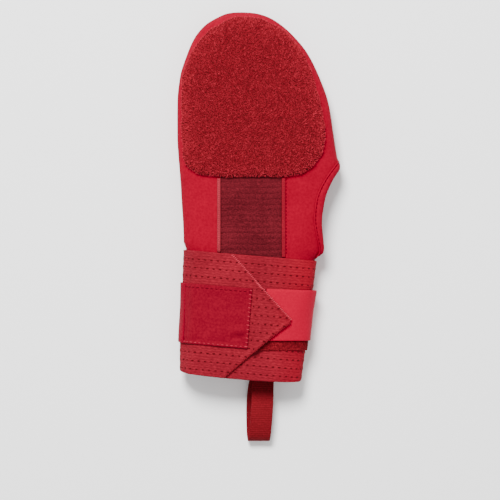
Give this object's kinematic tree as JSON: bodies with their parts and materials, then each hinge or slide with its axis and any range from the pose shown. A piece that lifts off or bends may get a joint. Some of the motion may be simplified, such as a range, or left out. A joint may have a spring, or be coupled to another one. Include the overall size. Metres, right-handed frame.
{
  "type": "sliding mitt",
  "caption": "Padded fabric mitt for sliding into a base, with a plush palm, a ribbed elastic panel, a thumb hole, a wrapped cuff with a cinch strap, and a pull loop.",
  "frame": {"origin": "on the surface that the mitt lies on, under the middle of its bounding box", "axes": "+Y towards the fingertips, +X towards the thumb, +Z out of the palm"},
  "size_m": [0.1196, 0.3138, 0.0365],
  "materials": {
    "neoprene": "smooth knit over neoprene",
    "plush": "short plush",
    "ribbed_elastic": "ribbed knit",
    "seam_tape": "knit tape",
    "wrap_knit": "heathered elastic",
    "fastener": "hook-and-loop pile",
    "strap_elastic": "smooth elastic",
    "patch_cloth": "brushed loop cloth",
    "webbing": "woven webbing"
  },
  "bodies": {
    "root": {"shell": "neoprene", "thumb_hem": "neoprene", "palm_pad": "plush", "elastic_panel": "ribbed_elastic", "seam_tape_little": "seam_tape", "seam_tape_thumb": "seam_tape", "cuff_wrap": "wrap_knit", "fastener_strip": "fastener", "cinch_strap": "strap_elastic", "strap_patch": "patch_cloth", "pull_loop": "webbing"}
  },
  "joints": []
}
